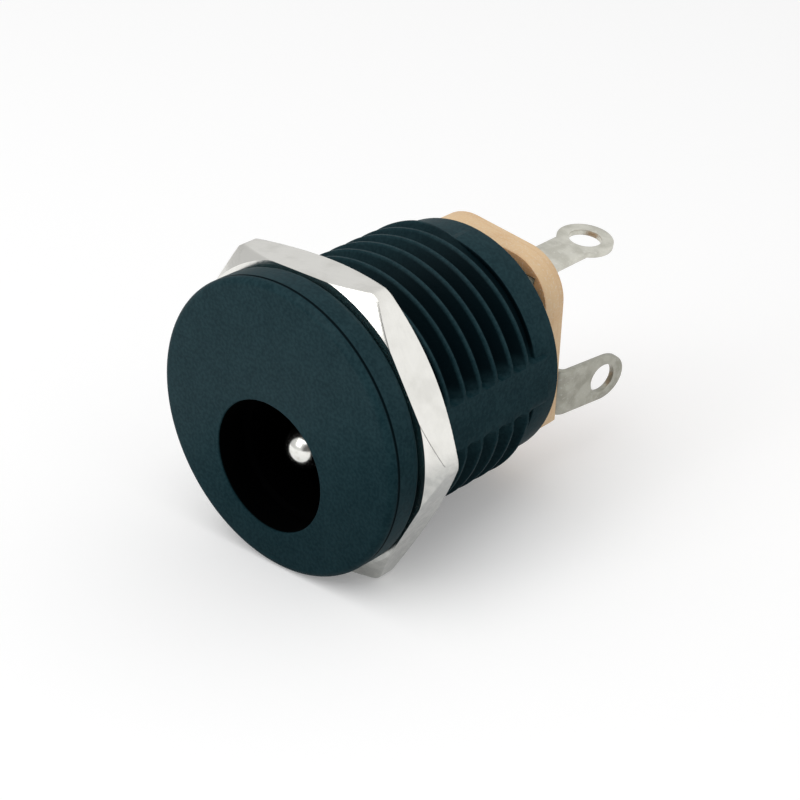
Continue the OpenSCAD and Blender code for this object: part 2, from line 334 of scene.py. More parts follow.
@dataclass(frozen=True)
class HousingZones:
    """Masks over the parts of the housing that look different, each from 0 to 1.

    A pair of numbers says where a mask starts and where it is complete.
    """

    g: Graph
    layout: Layout
    behind_flange: Point = (-0.1, 0.1)
    collar_wall: Point = (0.02, 0.06)
    root_depth: Point = (6.04, 6.17)
    land_edge: Point = (1.2, 2.1)
    lower_half: Point = (-1.5, 1.5)
    lit_side: Point = (-2.0, 3.2)
    least_low: float = 0.4
    least_far: float = 0.35
    parting_edge: Point = (0.04, 0.1)
    parting_rim: Point = (6.8, 6.9)
    well_wall: Point = (3.165, 3.205)
    well_mouth: Point = (0.0, 0.12)

    def roots(self) -> Signal:
        """Where painted shade goes in the thread's roots and the relief groove, weaker below and on the
        side away from the lugs.

        Returns:
            The mask.
        """
        g, axis = self.g, self.layout.barrel
        behind = g.along(1, self.layout.flange_t).ramp(*self.behind_flange)
        before = g.along(1, self.layout.collar_start).fall(*self.collar_wall)
        deep = g.from_axis(axis).fall(*self.root_depth)
        height = g.along(2, axis.z)
        off_land = height.absolute().ramp(*self.land_edge)
        low = self.least_low + (1 - self.least_low) * height.ramp(*self.lower_half)
        far = self.least_far + (1 - self.least_far) * g.along(0, axis.x).ramp(*self.lit_side)
        return behind * before * deep * off_land * low * far

    def upper(self, low: float, high: float) -> Signal:
        """Rises from the lower right of the housing to its upper left."""
        return self.g.slant(self.layout.barrel).ramp(low, high)

    def parting(self) -> Signal:
        """Where painted shade goes in the parting line's groove round the flange."""
        near = self.g.along(1, self.layout.parting_at).absolute().fall(*self.parting_edge)
        return near * self.g.from_axis(self.layout.barrel).ramp(*self.parting_rim)

    def well(self) -> Signal:
        """The inside of the plug opening, where hardly any light comes."""
        return self.g.from_axis(Vector()).fall(*self.well_wall) * self.g.along(1).ramp(*self.well_mouth)


@dataclass(frozen=True)
class MouldedPlastic:
    """Matte black thermoplastic: fine mould grain, a faint sheen that fades to the lower right, painted
    shade in the roots, the parting line and the plug opening, and painted shade over the lower right.
    """

    layout: Layout
    colour: Colour = (0.0058, 0.0245, 0.0315, 1.0)
    clouded: Colour = (0.0145, 0.0415, 0.0500, 1.0)
    # Painted shade: the near black of the thread roots, the relief groove and the parting line, also mixed
    # in over the lower right.
    root: Colour = (0.0012, 0.0058, 0.0080, 1.0)
    # Painted shade: the near black of the inside of the plug opening.
    inside: Colour = (0.0001, 0.0002, 0.0003, 1.0)
    cloud_mm: float = 1.1
    cloud_share: float = 0.35
    grain_mm: float = 0.17
    grain_share: float = 0.65
    grain_depth_mm: float = 0.012
    # Painted shade: where and how strongly the colour darkens towards the lower right.
    painted_shade_zone: Point = (-6.0, 1.0)
    painted_shade_share: float = 0.3
    roughness: float = 0.46
    well_roughness: float = 0.4
    sheen: float = 0.12
    sheen_zone: Point = (-3.0, 2.2)

    def material(self) -> bpy.types.Material:
        """Builds the plastic.

        Returns:
            The plastic.
        """
        g = Graph.material("moulded_plastic")
        zones = HousingZones(g, self.layout)
        cloud, grain = g.noise(self.cloud_mm, 4.0), g.noise(self.grain_mm)
        uneven = self.cloud_share * cloud.ramp(0.3, 0.7) + self.grain_share * grain.ramp(0.35, 0.65)
        colour = g.mix(uneven, self.colour, self.clouded)
        # Painted shade: the colour darkens towards the lower right of the housing.
        colour = g.mix(self.painted_shade_share * (1 - zones.upper(*self.painted_shade_zone)), colour, self.root)
        # Painted shade in the thread roots, the relief groove and the parting line.
        dark, well = zones.roots() + zones.parting(), zones.well()
        rough = self.roughness + cloud.swing(0.12) + grain.swing(0.2) + self.well_roughness * well
        # Painted shade: the roots take the root colour and the plug opening goes near black.
        colour = g.mix(well, g.mix(dark, colour, self.root), self.inside)
        sheen = self.sheen * (1 - dark) * (1 - well) * zones.upper(*self.sheen_zone)
        coat = {"Coat Weight": sheen, "Coat Roughness": 0.4, "Coat IOR": 1.5}
        normal = g.bump(grain, self.grain_depth_mm)
        return g.surface(colour, rough, normal, {"IOR": 1.5, "Specular IOR Level": 0.02, **coat})


@dataclass(frozen=True)
class NickelPlate:
    """Bright nickel over turned brass: fine scuffs, a few dull patches, and mottled painted shade over the
    lower right.
    """

    layout: Layout
    colour: Colour = (0.87, 0.86, 0.82, 1.0)
    dull: Colour = (0.70, 0.69, 0.65, 1.0)
    # Painted shade: the darker tone over the nut's lower right.
    lower_shade: Colour = (0.47, 0.475, 0.455, 1.0)
    patch_mm: float = 1.2
    patch_share: float = 0.5
    brush_mm: float = 0.9
    brush_stretch: Direction = (1.0, 9.0, 1.0)
    scuff_mm: float = 0.35
    fine_share: float = 0.2
    depth_mm: float = 0.007
    lower_shade_zone: Point = (-4.0, -2.5)
    lower_shade_share: float = 0.8
    roughness: float = 0.2

    def material(self) -> bpy.types.Material:
        """Builds the plate.

        Returns:
            The plate.
        """
        g = Graph.material("nickel_plate")
        cloud, scuff = g.noise(self.patch_mm), g.noise(self.scuff_mm, 4.0)
        stretched = {0: g.place(), 1: self.brush_stretch}
        lines = g.node("ShaderNodeVectorMath", {"operation": "MULTIPLY"}, stretched)
        brushed = g.noise(self.brush_mm, at=lines)
        worn = self.patch_share * cloud.ramp(0.4, 0.72) + self.fine_share * (brushed + scuff)
        # Painted shade, mottled by the scuffs, darker towards the lower right.
        under = g.slant(self.layout.barrel).fall(*self.lower_shade_zone)
        mottled = under * (self.lower_shade_share + 0.3 * scuff.ramp(0.3, 0.7))
        colour = g.mix(mottled, g.mix(worn, self.colour, self.dull), self.lower_shade)
        rough = self.roughness + cloud.swing(0.16) + scuff.swing(0.14)
        normal = g.bump(scuff * 0.6 + brushed * 0.4, self.depth_mm)
        return g.surface(colour, rough, normal, {"Metallic": 1.0})


@dataclass(frozen=True)
class PinPlate:
    """Polished plate on the centre pin, with faint turning marks."""

    colour: Colour = (0.86, 0.86, 0.82, 1.0)
    worn: Colour = (0.7, 0.69, 0.63, 1.0)
    wear_mm: float = 0.3
    mark_mm: float = 0.12
    depth_mm: float = 0.002
    roughness: float = 0.14

    def material(self) -> bpy.types.Material:
        """Builds the plate.

        Returns:
            The plate.
        """
        g = Graph.material("pin_plate")
        wear, marks = g.noise(self.wear_mm), g.bands(self.mark_mm)
        colour = g.mix(wear.ramp(0.5, 0.8), self.colour, self.worn)
        normal = g.bump(0.5 * wear + 0.5 * marks, self.depth_mm)
        return g.surface(colour, self.roughness + 0.1 * wear, normal, {"Metallic": 1.0})


@dataclass(frozen=True)
class TinnedStrip:
    """Dull tinned brass sheet, clouded and specked."""

    name: str
    colour: Colour
    cloudy: Colour
    bright: Colour
    cloud_mm: float = 0.7
    speck_mm: float = 0.13
    speck_share: float = 0.45
    depth_mm: float = 0.008
    roughness: float = 0.4

    def material(self) -> bpy.types.Material:
        """Builds the sheet.

        Returns:
            The sheet.
        """
        g = Graph.material(self.name)
        cloud, speck = g.noise(self.cloud_mm, 4.0), g.noise(self.speck_mm)
        colour = g.mix(cloud.ramp(0.35, 0.65), self.colour, self.cloudy)
        colour = g.mix(self.speck_share * speck.ramp(0.55, 0.74), colour, self.bright)
        rough = self.roughness + cloud.swing(0.2) + speck.swing(0.2)
        return g.surface(colour, rough, g.bump(speck, self.depth_mm), {"Metallic": 1.0})


@dataclass(frozen=True)
class PhenolicSheet:
    """Punched paper phenolic: pale tan punched edge, browner faces, fine paper fibre."""

    layout: Layout
    face: Colour = (0.74, 0.41, 0.195, 1.0)
    edge: Colour = (0.77, 0.55, 0.325, 1.0)
    fleck: Colour = (0.80, 0.67, 0.52, 1.0)
    shade: Colour = (0.66, 0.40, 0.20, 1.0)
    cloud_mm: float = 1.0
    fibre_mm: float = 0.1
    ply_mm: float = 0.16
    ply_waver: float = 0.0004
    face_depth: Point = (0.93, 0.99)
    cloud_share: float = 0.45
    ply_share: float = 0.3
    fleck_share: float = 0.6
    depth_mm: float = 0.014
    roughness: float = 0.55

    def material(self) -> bpy.types.Material:
        """Builds the sheet.

        Returns:
            The sheet.
        """
        g = Graph.material("phenolic_sheet")
        cloud, fibre = g.noise(self.cloud_mm), g.noise(self.fibre_mm)
        plies = g.bands(self.ply_mm, cloud * self.ply_waver)
        depth = g.along(1, self.layout.board_middle).absolute() / (self.layout.board_t / 2)
        colour = g.mix(depth.ramp(*self.face_depth), self.edge, self.face)
        shaded = self.cloud_share * cloud.ramp(0.45, 0.8) + self.ply_share * plies.ramp(0.5, 0.7)
        colour = g.mix(shaded, colour, self.shade)
        colour = g.mix(self.fleck_share * fibre.ramp(0.52, 0.72), colour, self.fleck)
        rough = self.roughness + fibre.swing(0.2)
        normal = g.bump(fibre * 0.7 + plies * 0.3, self.depth_mm)
        return g.surface(colour, rough, normal, {"Specular IOR Level": 0.25})


class Finish(Enum):
    """The jack's finishes, each with the record's material slot that it belongs to."""

    PLASTIC = ("moulded", "black_plastic")
    NICKEL = ("plated", "nickel")
    PIN = ("polished", "pin_metal")
    PHENOLIC = ("punched", "phenolic")
    # A lit copy and a darker shaded copy of the tinned strip; the shaded copy is painted shade on the pin
    # lug.
    LIT_STRIP = ("bright", "tinned_strip")
    SHADED_STRIP = ("dull", "tinned_strip")

    @property
    def slot(self) -> str:
        """The record's material slot."""
        return self.value[1]


def mix_finishes(layout: Layout) -> dict[Finish, bpy.types.Material]:
    """Builds each finish once.

    Args:
        layout: the places that some finishes follow.

    Returns:
        The material of each finish.
    """
    # Painted shade: the second copy's colours are darker than the first's.
    bright = ((0.68, 0.67, 0.60, 1.0), (0.55, 0.54, 0.475, 1.0), (0.8, 0.79, 0.75, 1.0))
    dull = ((0.4, 0.395, 0.345, 1.0), (0.31, 0.305, 0.26, 1.0), (0.54, 0.535, 0.5, 1.0))
    return {
        Finish.PLASTIC: MouldedPlastic(layout).material(),
        Finish.NICKEL: NickelPlate(layout).material(),
        Finish.PIN: PinPlate().material(),
        Finish.PHENOLIC: PhenolicSheet(layout).material(),
        Finish.LIT_STRIP: TinnedStrip("lit_strip", *bright).material(),
        Finish.SHADED_STRIP: TinnedStrip("shaded_strip", *dull).material(),
    }


# ---- bench tools


def arc(centre: Point, radius: float, start: float, end: float, steps: int = 6) -> list[Point]:
    """Points along an arc from one angle in degrees to another, in equal steps."""
    angles = [math.radians(start + (end - start) * i / steps) for i in range(steps + 1)]
    return [(centre[0] + radius * math.cos(a), centre[1] + radius * math.sin(a)) for a in angles]


def circle_points(centre: Point, radius: float, steps: int = 48) -> list[Point]:
    """Points around a full circle."""
    return arc(centre, radius, 0, 360 - 360 / steps, steps - 1)


def smoothstep(x: float) -> float:
    """Eases x from 0 to 1."""
    x = min(max(x, 0.0), 1.0)
    return x * x * (3 - 2 * x)


class Workpiece:
    """A mesh on the bench, in millimetres."""

    def __init__(self) -> None:
        """Starts with nothing."""
        self.bm = bmesh.new()

    def wire(self, points: Iterable[Sequence[float]], closed: bool = False) -> list[bmesh.types.BMEdge]:
        """Draws a line through points.

        Args:
            points: the points in order.
            closed: joins the last point to the first.

        Returns:
            The line's edges.
        """
        verts = [self.bm.verts.new(p) for p in points]
        edges = [self.bm.edges.new(pair) for pair in zip(verts, verts[1:])]
        if closed:
            edges.append(self.bm.edges.new((verts[-1], verts[0])))
        return edges

    @staticmethod
    def turned(
        profile: Iterable[Point], centre: Vector, steps: int = 192, turns: int = 1, pitch: float = 0.0
    ) -> "Workpiece":
        """Turns a profile of (radius, y) about an axis along Y, as a ring or as a screw.

        Args:
            profile: the profile's points in order.
            centre: a point on the axis.
            steps: the number of steps in a full turn.
            turns: the number of turns.
            pitch: the rise in a turn, or 0 for a ring.

        Returns:
            The turned piece.
        """
        piece = Workpiece()
        edges = piece.wire((centre.x + r, y, centre.z) for r, y in profile)
        bmesh.ops.spin(
            piece.bm, geom=[*edges, *{v for e in edges for v in e.verts}], cent=centre, axis=ALONG,
            dvec=ALONG * (pitch / steps), angle=TURN * turns, steps=steps * turns, use_merge=pitch == 0,
        )
        bmesh.ops.remove_doubles(piece.bm, verts=piece.bm.verts[:], dist=1e-3)
        bmesh.ops.recalc_face_normals(piece.bm, faces=piece.bm.faces[:])
        return piece

    @staticmethod
    def block(low: Vector, high: Vector, turn: Matrix) -> "Workpiece":
        """A box.

        Args:
            low: its lowest corner.
            high: its highest corner.
            turn: their frame.

        Returns:
            The box.
        """
        piece = Workpiece()
        place = turn @ Matrix.Translation((low + high) / 2) @ Matrix.Diagonal((*(high - low), 1))
        bmesh.ops.create_cube(piece.bm, size=1.0, matrix=place)
        return piece

    def reshape(self, axis: Vector, rule: Callable[[float, float, float], float]) -> None:
        """Moves each point in or out from an axis along Y.

        Args:
            axis: a point on the axis.
            rule: gives the new radius from the radius, the angle and the place along Y.
        """
        for vert in self.bm.verts:
            x, z = vert.co.x - axis.x, vert.co.z - axis.z
            r = math.hypot(x, z)
            scale = rule(r, math.atan2(z, x), vert.co.y) / r
            vert.co.x, vert.co.z = axis.x + x * scale, axis.z + z * scale

    def move(self, matrix: Matrix) -> None:
        """Moves the whole mesh."""
        bmesh.ops.transform(self.bm, matrix=matrix, verts=self.bm.verts[:])

    def cap(self, at: float, keep: Vector) -> None:
        """Cuts the mesh square at a place along Y and closes the cut.

        Args:
            at: the place of the cut.
            keep: the direction along Y that is kept.
        """
        geom = [*self.bm.verts, *self.bm.edges, *self.bm.faces]
        bmesh.ops.bisect_plane(
            self.bm, geom=geom, dist=1e-5, plane_co=ALONG * at, plane_no=-keep, clear_outer=True
        )
        rim = [e for e in self.bm.edges if e.is_boundary and all(abs(v.co.y - at) < 1e-4 for v in e.verts)]
        bmesh.ops.triangle_fill(self.bm, edges=rim, use_beauty=True, use_dissolve=False)

    def sharpen(self, angle: float = 40.0) -> "Workpiece":
        """Shades the mesh smooth except over edges that turn by more than an angle.

        Args:
            angle: the angle in degrees.

        Returns:
            The workpiece itself.
        """
        limit = math.radians(angle)
        for face in self.bm.faces:
            face.smooth = True
        for edge in self.bm.edges:
            edge.smooth = len(edge.link_faces) == 2 and edge.calc_face_angle(0.0) < limit
        return self

    def mesh(self, name: str, scale: float = 1.0) -> bpy.types.Mesh:
        """Ends the work.

        Args:
            name: the mesh's name.
            scale: a factor on its size.

        Returns:
            The mesh.
        """
        bmesh.ops.scale(self.bm, vec=Vector((scale,) * 3), verts=self.bm.verts[:])
        mesh = bpy.data.meshes.new(name)
        self.bm.to_mesh(mesh)
        self.bm.free()
        return mesh

    def joined(self, tool: "Workpiece", operation: str = "DIFFERENCE") -> "Workpiece":
        """Cuts or joins this closed workpiece with another.

        Args:
            tool: the other solid.
            operation: DIFFERENCE or UNION.

        Returns:
            The result.
        """
        target = bpy.data.objects.new("joining", self.mesh("joining"))
        cutter = bpy.data.objects.new("tool", tool.mesh("tool"))
        for obj in (target, cutter):
            bpy.context.scene.collection.objects.link(obj)
        step = target.modifiers.new("join", "BOOLEAN")
        step.operation = operation
        step.solver = "MANIFOLD"
        step.object = cutter
        graph = bpy.context.evaluated_depsgraph_get()
        result = Workpiece()
        result.bm.from_mesh(bpy.data.meshes.new_from_object(target.evaluated_get(graph)))
        for obj in (target, cutter):
            bpy.data.objects.remove(obj)
        return result


@dataclass
class Blank:
    """A flat punched blank, drawn in X and Y with its thickness along Z."""

    outline: list[Point]
    holes: list[list[Point]]
    thick: float
    edge: float = 0.03

    def solid(self) -> Workpiece:
        """The closed blank with its edges eased.

        Returns:
            The blank.
        """
        piece = Workpiece()
        rim = piece.wire(((x, y, 0) for x, y in self.outline), closed=True)
        for hole in self.holes:
            rim += piece.wire(((x, y, 0) for x, y in hole), closed=True)
        bmesh.ops.triangle_fill(piece.bm, edges=rim, use_beauty=True, use_dissolve=False)
        grown = bmesh.ops.extrude_face_region(piece.bm, geom=piece.bm.faces[:])
        lifted = [v for v in grown["geom"] if isinstance(v, bmesh.types.BMVert)]
        bmesh.ops.translate(piece.bm, vec=UP * self.thick, verts=lifted)
        bmesh.ops.translate(piece.bm, vec=-UP * self.thick / 2, verts=piece.bm.verts[:])
        bmesh.ops.recalc_face_normals(piece.bm, faces=piece.bm.faces[:])
        square = [e for e in piece.bm.edges if abs(e.calc_face_angle(0.0) - math.pi / 2) < 0.05]
        level = [e for e in square if abs(e.verts[0].co.z - e.verts[1].co.z) < 1e-6]
        bmesh.ops.bevel(
            piece.bm, geom=level, offset=self.edge, affect="EDGES", segments=2, profile=0.5, material=-1
        )
        return piece


@dataclass
class StripPath:
    """The middle line of a folded strip, as points of (along, up) in the fold's plane."""

    points: list[Point]

    def lengths(self) -> list[float]:
        """The distance of each point along the line.

        Returns:
            The distances.
        """
        total = [0.0]
        for (x0, y0), (x1, y1) in zip(self.points, self.points[1:]):
            total.append(total[-1] + math.hypot(x1 - x0, y1 - y0))
        return total

    def run(self, i: int) -> Vector:
        """The direction of the stretch after a point."""
        return (Vector(self.points[i + 1]) - Vector(self.points[i])).normalized()

    def place(self, s: float, off: float) -> Point:
        """A point on the folded strip.

        Args:
            s: the distance along the line.
            off: the distance to the line's left.

        Returns:
            The point in the fold's plane.
        """
        marks = self.lengths()
        i = max(j for j in range(len(marks) - 1) if marks[j] <= s + 1e-9 or j == 0)
        part = (s - marks[i]) / (marks[i + 1] - marks[i])
        near = i - 1 if part < 0.5 else i + 1
        run = self.run(i)
        after = self.run(near) if 0 <= near < len(marks) - 1 else run
        bent = run.lerp(after, abs(part - 0.5)).normalized()
        spot = Vector(self.points[i]) + run * (s - marks[i]) + Vector((-bent.y, bent.x)) * off
        return spot.x, spot.y

    def fold(self, piece: Workpiece, spacing: float = 0.12) -> None:
        """Folds a flat blank along the line: its Y becomes the distance along it.

        Args:
            piece: the flat blank.
            spacing: the distance between the cuts that let it bend.
        """
        for i in range(1, int(self.lengths()[-1] / spacing)):
            geom, at = [*piece.bm.verts, *piece.bm.edges, *piece.bm.faces], ALONG * (spacing * i)
            bmesh.ops.bisect_plane(piece.bm, geom=geom, dist=1e-5, plane_co=at, plane_no=ALONG)
        for vert in piece.bm.verts:
            vert.co.y, vert.co.z = self.place(vert.co.y, vert.co.z)


# ---- the jack


@dataclass
class Thread:
    """A right-handed moulded thread about the barrel's axis, with a plain land on each side."""

    layout: Layout
    crest_r: float = 6.18
    depth: float = 0.56
    pitch: float = 1.07
    crest_flat: float = 0.13
    root_flat: float = 0.22
    soft: float = 0.05
    last_crest: float = 11.219
    ends_at: float = 10.9
    fade: float = 0.13
    run_in: float = 3.6
    run_in_drop: float = 0.26
    land_half: float = 5.95
    land_w: float = 2.3
    land_edge: float = 0.16
    land_ring: float = 6.0
    land_turn: float = math.radians(1.5)
    front_cut: float = 1.65
    rear_cut: float = 11.6
    steps: int = 180
    turns: int = 11

    @property
    def first_crest(self) -> float:
        """The place along Y of the first crest on the +X side."""
        return self.last_crest - (self.turns - 1) * self.pitch

    def profile(self) -> list[Point]:
        """One pitch of the thread from the middle of a crest to the middle of the next.

        Returns:
            Points of (radius, y).
        """
        half, crest, root = self.pitch / 2, self.crest_flat / 2, self.root_flat / 2
        top, low = self.crest_r, self.crest_r - self.depth
        side = [(top, 0.0), (top - 0.008, crest), (top - self.soft, crest + 0.6 * self.soft)]
        side += [(low + self.soft, half - root - 0.6 * self.soft), (low + 0.01, half - root + 0.02)]
        side.append((low, half))
        return side + [(r, self.pitch - y) for r, y in reversed(side[:-1])]

    def radius(self, r: float, angle: float, y: float) -> float:
        """The radius after the low first turn, the run-out and the lands.

        Args:
            r: the radius of the plain thread.
            angle: the angle round the axis.
            y: the place along the barrel.

        Returns:
            The shaped radius.
        """
        base = self.first_crest - self.pitch * angle / TURN
        crest = base + round((y - base) / self.pitch) * self.pitch
        across = self.land_ring * math.sin(angle - self.land_turn)
        out = abs(math.cos(angle - self.land_turn))
        root = self.crest_r - self.depth
        r = min(r, self.crest_r - self.run_in_drop * (1 - smoothstep((y - self.run_in) / self.pitch)))
        r = root + (r - root) * (1 - smoothstep((crest - self.ends_at) / self.fade))
        flat = self.land_half / max(out, 0.3)
        fill = 1 - smoothstep((abs(across) - self.land_w / 2) / self.land_edge)
        return min(r + (flat - r) * fill if r < flat else r, flat)

    def solid(self) -> Workpiece:
        """The threaded core, closed at both ends.

        Returns:
            The core.
        """
        profile = ((r, self.first_crest + y) for r, y in self.profile())
        piece = Workpiece.turned(profile, self.layout.barrel, self.steps, self.turns, self.pitch)
        piece.reshape(self.layout.barrel, self.radius)
        piece.cap(self.front_cut, ALONG)
        piece.cap(self.rear_cut, -ALONG)
        bmesh.ops.recalc_face_normals(piece.bm, faces=piece.bm.faces[:])
        return piece


@dataclass
class Piece:
    """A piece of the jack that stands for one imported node."""

    layout: Layout
    title: ClassVar[str]
    node: ClassVar[str]
    finish: ClassVar[Finish]

    def shape(self) -> Workpiece:
        """Makes the piece's closed mesh."""
        raise NotImplementedError

    def build(self, finishes: dict[Finish, bpy.types.Material]) -> None:
        """Makes the piece, dresses it and sets it in its node's place.

        Args:
            finishes: the material of each finish.
        """
        obj = bpy.data.objects.new(self.title, self.shape().mesh(self.title, MM))
        bpy.context.scene.collection.objects.link(obj)
        obj.data.materials.append(finishes[self.finish])
        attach(obj, "root")
        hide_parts(self.node)
        LOG.info("%s: %d faces", self.title, len(obj.data.polygons))


@dataclass
class Housing(Piece):
    """The moulded housing: flange, threaded barrel, collar, spigot and plug cavity."""

    title = "moulded_housing"
    node = "housing"
    finish = Finish.PLASTIC
    flange_r: float = 7.0
    front_round: float = 0.35
    parting_w: float = 0.11
    parting_d: float = 0.035
    rear_round: float = 0.38
    collar_r: float = 5.83
    collar_chamfer: float = 0.14
    opening_r: float = 3.15
    lip_depth: float = 1.6
    ease: float = 0.06
    cavity_r: float = 2.95
    leaf_half: float = 1.1
    leaf_room: float = 0.25
    channel_start: float = 3.7
    pocket_depth: float = 0.7
    pocket_side: float = 3.13
    pocket_top: float = 4.4

    def flange(self) -> Workpiece:
        """The flange with its rounded edges and its parting line.

        Returns:
            The flange.
        """
        r, t = self.flange_r, self.layout.flange_t
        front = arc((r - self.front_round, self.front_round), self.front_round, -90, 0, 10)
        line, w, d = self.layout.parting_at, self.parting_w / 2, self.parting_d
        front += [(r, line - w), (r - d, line - w / 3), (r - d, line + w / 3), (r, line + w)]
        rear = arc((r - self.rear_round, t - self.rear_round), self.rear_round, 0, 90, 6)
        return Workpiece.turned([(0, 0), *front, *rear, (0, t)], self.layout.barrel)

    def collar(self) -> Workpiece:
        """The plain collar and the rear spigot.

        Returns:
            The collar.
        """
        r, start, end = self.collar_r, self.layout.collar_start, self.layout.barrel_end
        front = arc((r - self.ease, start + self.ease), self.ease, -90, 0, 4)
        rear = arc((r - self.collar_chamfer, end - self.collar_chamfer), self.collar_chamfer, 0, 90, 6)
        spigot_r, spigot_end = self.layout.spigot_r, self.layout.board_front
        profile = [(0, start), *front, *rear, (spigot_r, end), (spigot_r, spigot_end), (0, spigot_end)]
        return Workpiece.turned(profile, self.layout.barrel)

    def cavity(self) -> Workpiece:
        """What is cut away for the plug and the pin's tail.

        Returns:
            The cutter.
        """
        r, depth, tail = self.opening_r, self.layout.cavity_depth, self.layout.tail_hole_r
        mouth = arc((r + self.ease, self.ease), self.ease, -90, -180, 5)
        lead = self.lip_depth + r - self.cavity_r
        before, beyond = -1, 14
        profile = [(0, before), (r + self.ease, before), *mouth, (r, self.lip_depth)]
        profile += [(self.cavity_r, lead), (self.cavity_r, depth)]
        profile += [(tail, depth), (tail, beyond), (0, beyond)]
        return Workpiece.turned(profile, Vector(), 128)

    def channel(self) -> Workpiece:
        """What is cut away over the cavity for the spring leaf.

        Returns:
            The cutter.
        """
        plug, top = self.layout.plug_in_board, self.layout.leaf_height + self.leaf_room
        low = Vector((plug.x - self.leaf_half, self.channel_start, plug.z + 0.75 * self.cavity_r))
        high = Vector((plug.x + self.leaf_half, self.layout.board_front + 1, top))
        return Workpiece.block(low, high, self.layout.board_frame)

    def pocket(self) -> Workpiece:
        """What is cut away in the spigot's end for the contact's base plate.

        Returns:
            The cutter.
        """
        left, front = self.layout.plug_in_board.x - self.leaf_half, self.layout.board_front
        low = Vector((left, front - self.pocket_depth, self.layout.leaf_height - self.leaf_room))
        high = Vector((self.pocket_side, front + 1, self.pocket_top))
        return Workpiece.block(low, high, self.layout.board_frame)

    def shape(self) -> Workpiece:
        """Joins the outside and cuts the inside out of it.

        Returns:
            The housing.
        """
        piece = self.flange().joined(Thread(self.layout).solid(), "UNION").joined(self.collar(), "UNION")
        for cut in (self.cavity(), self.channel(), self.pocket()):
            piece = piece.joined(cut)
        return piece.sharpen(32)


@dataclass
class HexNut(Piece):
    """The hexagon nut, chamfered at both faces."""

    title = "chamfered_nut"
    node = "hex_nut"
    finish = Finish.NICKEL
    across: float = 14.0
    thick: float = 1.95
    bore_r: float = 6.22
    countersink: float = 0.25
    chamfer: float = math.radians(30)
    front_out: float = 0.2
    rear_in: float = 0.2
    corner_trim: float = 0.1
    edge: float = 0.04
    steps: int = 6 * 64
    rows: int = 56

    def soft_min(self, a: float, b: float) -> float:
        """The smaller of two radii, rounded where they cross."""
        gap = max(self.edge - abs(a - b), 0.0)
        return min(a, b) - gap * gap / (4 * self.edge)

    def silhouette(self, y: float) -> float:
        """The radius of the turned outline over the front face.

        Args:
            y: the height.

        Returns:
            The radius.
        """
        slope = math.tan(self.chamfer)
        corner = self.across / 2 / math.cos(math.pi / 6) - self.corner_trim
        front = self.across / 2 + self.front_out + y / slope
        rear = self.across / 2 - self.rear_in + (self.thick - y) / slope
        return self.soft_min(self.soft_min(front, rear), corner)

    def planed(self, r: float, angle: float, _: float) -> float:
        """The radius after the six flats are cut; the bore stays as it is.

        Args:
            r: the radius before.
            angle: the angle round the axis.

        Returns:
            The new radius.
        """
        if r <= self.bore_r + self.countersink + 1e-3:
            return r
        flats = sorted(math.cos(angle - math.pi / 6 - k * math.pi / 3) for k in range(6))
        return self.soft_min(r, self.soft_min(*(self.across / 2 / c for c in flats[-2:])))

    def shape(self) -> Workpiece:
        """Turns the nut and cuts its flats.

        Returns:
            The nut.
        """
        base, inner, sink = self.layout.flange_t, self.bore_r, self.countersink
        rise = [self.thick * (0.5 - 0.5 * math.cos(math.pi * i / self.rows)) for i in range(self.rows + 1)]
        outside = [(self.silhouette(y), base + y) for y in rise]
        bore = [(inner + sink, base + self.thick), (inner, base + self.thick - sink)]
        bore += [(inner, base + sink), (inner + sink, base)]
        piece = Workpiece.turned([*outside, *bore, outside[0]], self.layout.barrel, self.steps)
        piece.reshape(self.layout.barrel, self.planed)
        return piece.sharpen(24)


@dataclass
class CentrePin(Piece):
    """The turned pin with its domed tip, shoulder and riveted tail."""

    title = "turned_pin"
    node = "centre_pin"
    finish = Finish.PIN
    pin_r: float = 1.05
    tip_at: float = 1.52
    shoulder_r: float = 1.6
    shoulder_t: float = 0.5
    tail_r: float = 0.8
    rivet_r: float = 1.25
    rivet_h: float = 0.45
    ease: float = 0.06

    def shape(self) -> Workpiece:
        """Turns the pin from its tip to its rivet head.

        Returns:
            The pin.
        """
        floor, ease = self.layout.cavity_depth, self.ease
        step = floor - self.shoulder_t
        seat = self.layout.board_rear + self.layout.strip_t
        dome = arc((0, self.tip_at + self.pin_r), self.pin_r, -90, 0, 16)
        shaft = [(self.pin_r, step), (self.shoulder_r - ease, step), (self.shoulder_r, step + ease)]
        tail = [(self.shoulder_r, floor), (self.tail_r, floor), (self.tail_r, seat)]
        rim = [(self.rivet_r * 0.96, seat), (self.rivet_r * 0.985, seat + ease)]
        head = arc((0, seat + self.rivet_h - self.rivet_r), self.rivet_r, 22, 90, 10)
        head = [(r, y) for r, y in head if r < self.rivet_r * 0.97 and y > seat + 0.08]
        return Workpiece.turned([*dome, *shaft, *tail, *rim, *head], Vector(), 96).sharpen()


